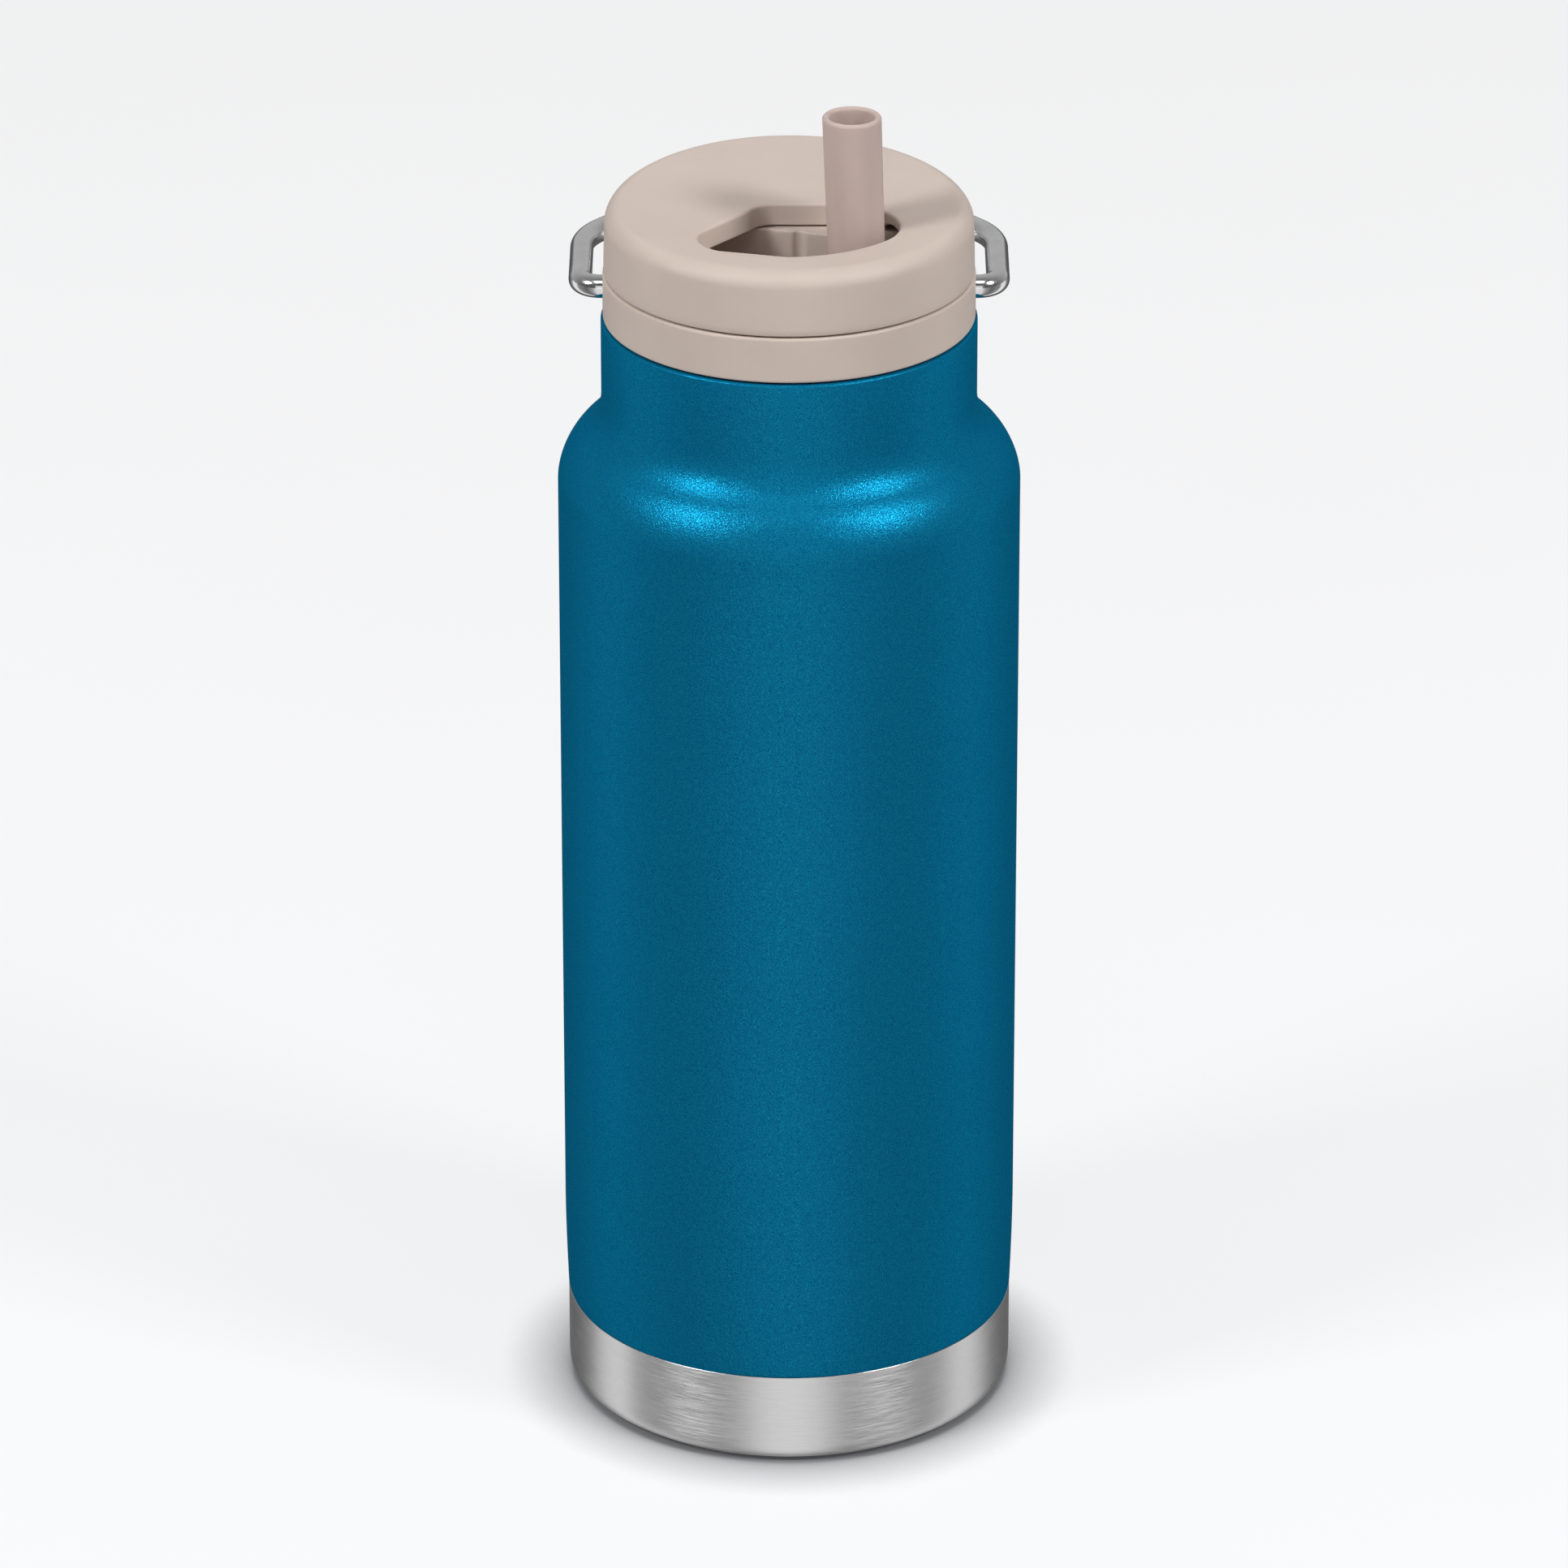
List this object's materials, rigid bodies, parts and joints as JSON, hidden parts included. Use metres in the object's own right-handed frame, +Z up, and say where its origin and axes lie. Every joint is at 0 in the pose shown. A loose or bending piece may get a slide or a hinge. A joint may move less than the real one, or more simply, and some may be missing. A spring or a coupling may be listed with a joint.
{
  "type": "insulated water bottle",
  "caption": "Double-walled steel bottle with a painted body, bare steel foot and screw-in cap whose twist dial raises a folding drinking tube, plus a swinging rod handle.",
  "frame": {"origin": "centre of the flat underside, on the bottle's own axis", "axes": "+Z up along the bottle's axis, -Y the front with the drinking tube, the handle folded back towards +Y, handle pivots on the X axis"},
  "size_m": [0.0888, 0.0938, 0.27],
  "materials": {
    "powder_coat": "matte powder coat with a fine sparkle",
    "brushed_steel": "fine horizontal brushing",
    "polished_steel": "polished rod",
    "cap_plastic": "fine matte moulding texture",
    "silicone": "soft silicone",
    "seal_rubber": "soft silicone seal",
    "straw_plastic": "natural polypropylene",
    "foam": "closed-cell foam",
    "solder": "dull grey metal"
  },
  "bodies": {
    "bottle": {"outer_shell": "powder_coat", "base_cup": "brushed_steel", "base_disc": "brushed_steel", "liner_wall": "brushed_steel", "liner_neck": "brushed_steel", "liner_base": "brushed_steel", "vacuum_seal": "solder", "getter": "solder"},
    "seal": {"cap_gasket": "seal_rubber"},
    "cap": {"cap_body": "cap_plastic", "straw_tray": "cap_plastic", "plug_cup": "cap_plastic", "plug_insulation": "foam", "vent_valve": "seal_rubber", "mouthpiece_base": "silicone", "lower_straw": "straw_plastic", "dial_glide_ring": "straw_plastic"},
    "dial": {"dial": "cap_plastic"},
    "tube": {"mouthpiece_tube": "silicone"},
    "handle": {"bail_handle": "polished_steel"}
  },
  "joints": [
    {"name": "cap_lift", "type": "slide", "parent": "bottle", "child": "seal", "axis": [0, 0, 1], "range_m": [0, 0.25]},
    {"name": "cap_turn", "type": "hinge", "parent": "seal", "child": "cap", "pos_m": [0, 0, 0.22], "axis": [0, 0, 1], "range_deg": [0, 450]},
    {"name": "dial_turn", "type": "hinge", "parent": "cap", "child": "dial", "pos_m": [0, 0, 0.243], "axis": [0, 0, 1], "range_deg": [-70, 0]},
    {"name": "mouthpiece_fold", "type": "hinge", "parent": "cap", "child": "tube", "pos_m": [0.0131, -0.011, 0.232], "axis": [-0.2419, -0.9703, 0], "range_deg": [0, 88]},
    {"name": "bail_swing", "type": "hinge", "parent": "cap", "child": "handle", "pos_m": [0, 0, 0.2311], "axis": [1, 0, 0], "range_deg": [-30, 210]}
  ],
  "couplings": [
    {"joint": "mouthpiece_fold", "follows": "dial_turn", "ratio": -1.25}
  ]
}
